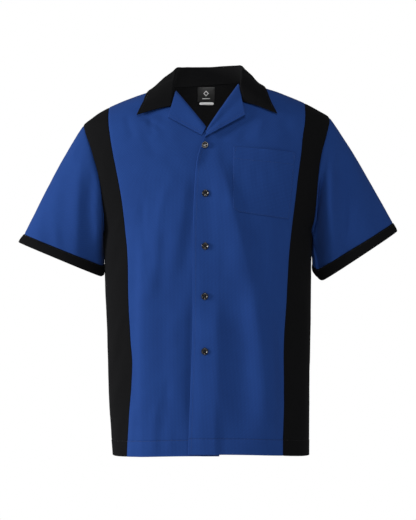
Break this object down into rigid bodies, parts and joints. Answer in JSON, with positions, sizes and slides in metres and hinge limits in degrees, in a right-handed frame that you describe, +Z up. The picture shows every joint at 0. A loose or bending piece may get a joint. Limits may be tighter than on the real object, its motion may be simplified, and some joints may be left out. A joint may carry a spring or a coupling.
{
  "type": "bowling shirt",
  "caption": "Short-sleeved bowling shirt, filled out as worn, with blue fronts and sleeves, black princess side panels, back, open collar and cuff bands, and a chest pocket.",
  "frame": {"origin": "middle of the neck at the height of the shoulder's highest point, where the wearer holds the shirt up", "axes": "+X to the wearer's left, -Y to the front, +Z up"},
  "size_m": [0.7564, 0.2435, 0.785],
  "materials": {
    "blue_shirting": "woven shirting, matt with a slight sheen",
    "black_shirting": "woven shirting, matt",
    "button": "moulded, polished",
    "woven_label": "satin woven label",
    "white_tape": "woven tape"
  },
  "bodies": {
    "root": {"front_left": "blue_shirting", "front_right": "blue_shirting", "facing_left": "blue_shirting", "facing_right": "blue_shirting", "side_front_left": "black_shirting", "side_front_right": "black_shirting", "back": "black_shirting", "sleeve_left": "blue_shirting", "sleeve_right": "blue_shirting", "cuff_left": "black_shirting", "cuff_right": "black_shirting", "collar": "black_shirting", "pocket": "blue_shirting", "button_1": "button", "button_2": "button", "button_3": "button", "button_4": "button", "button_5": "button", "neck_label": "woven_label", "size_tab": "white_tape"}
  },
  "joints": []
}
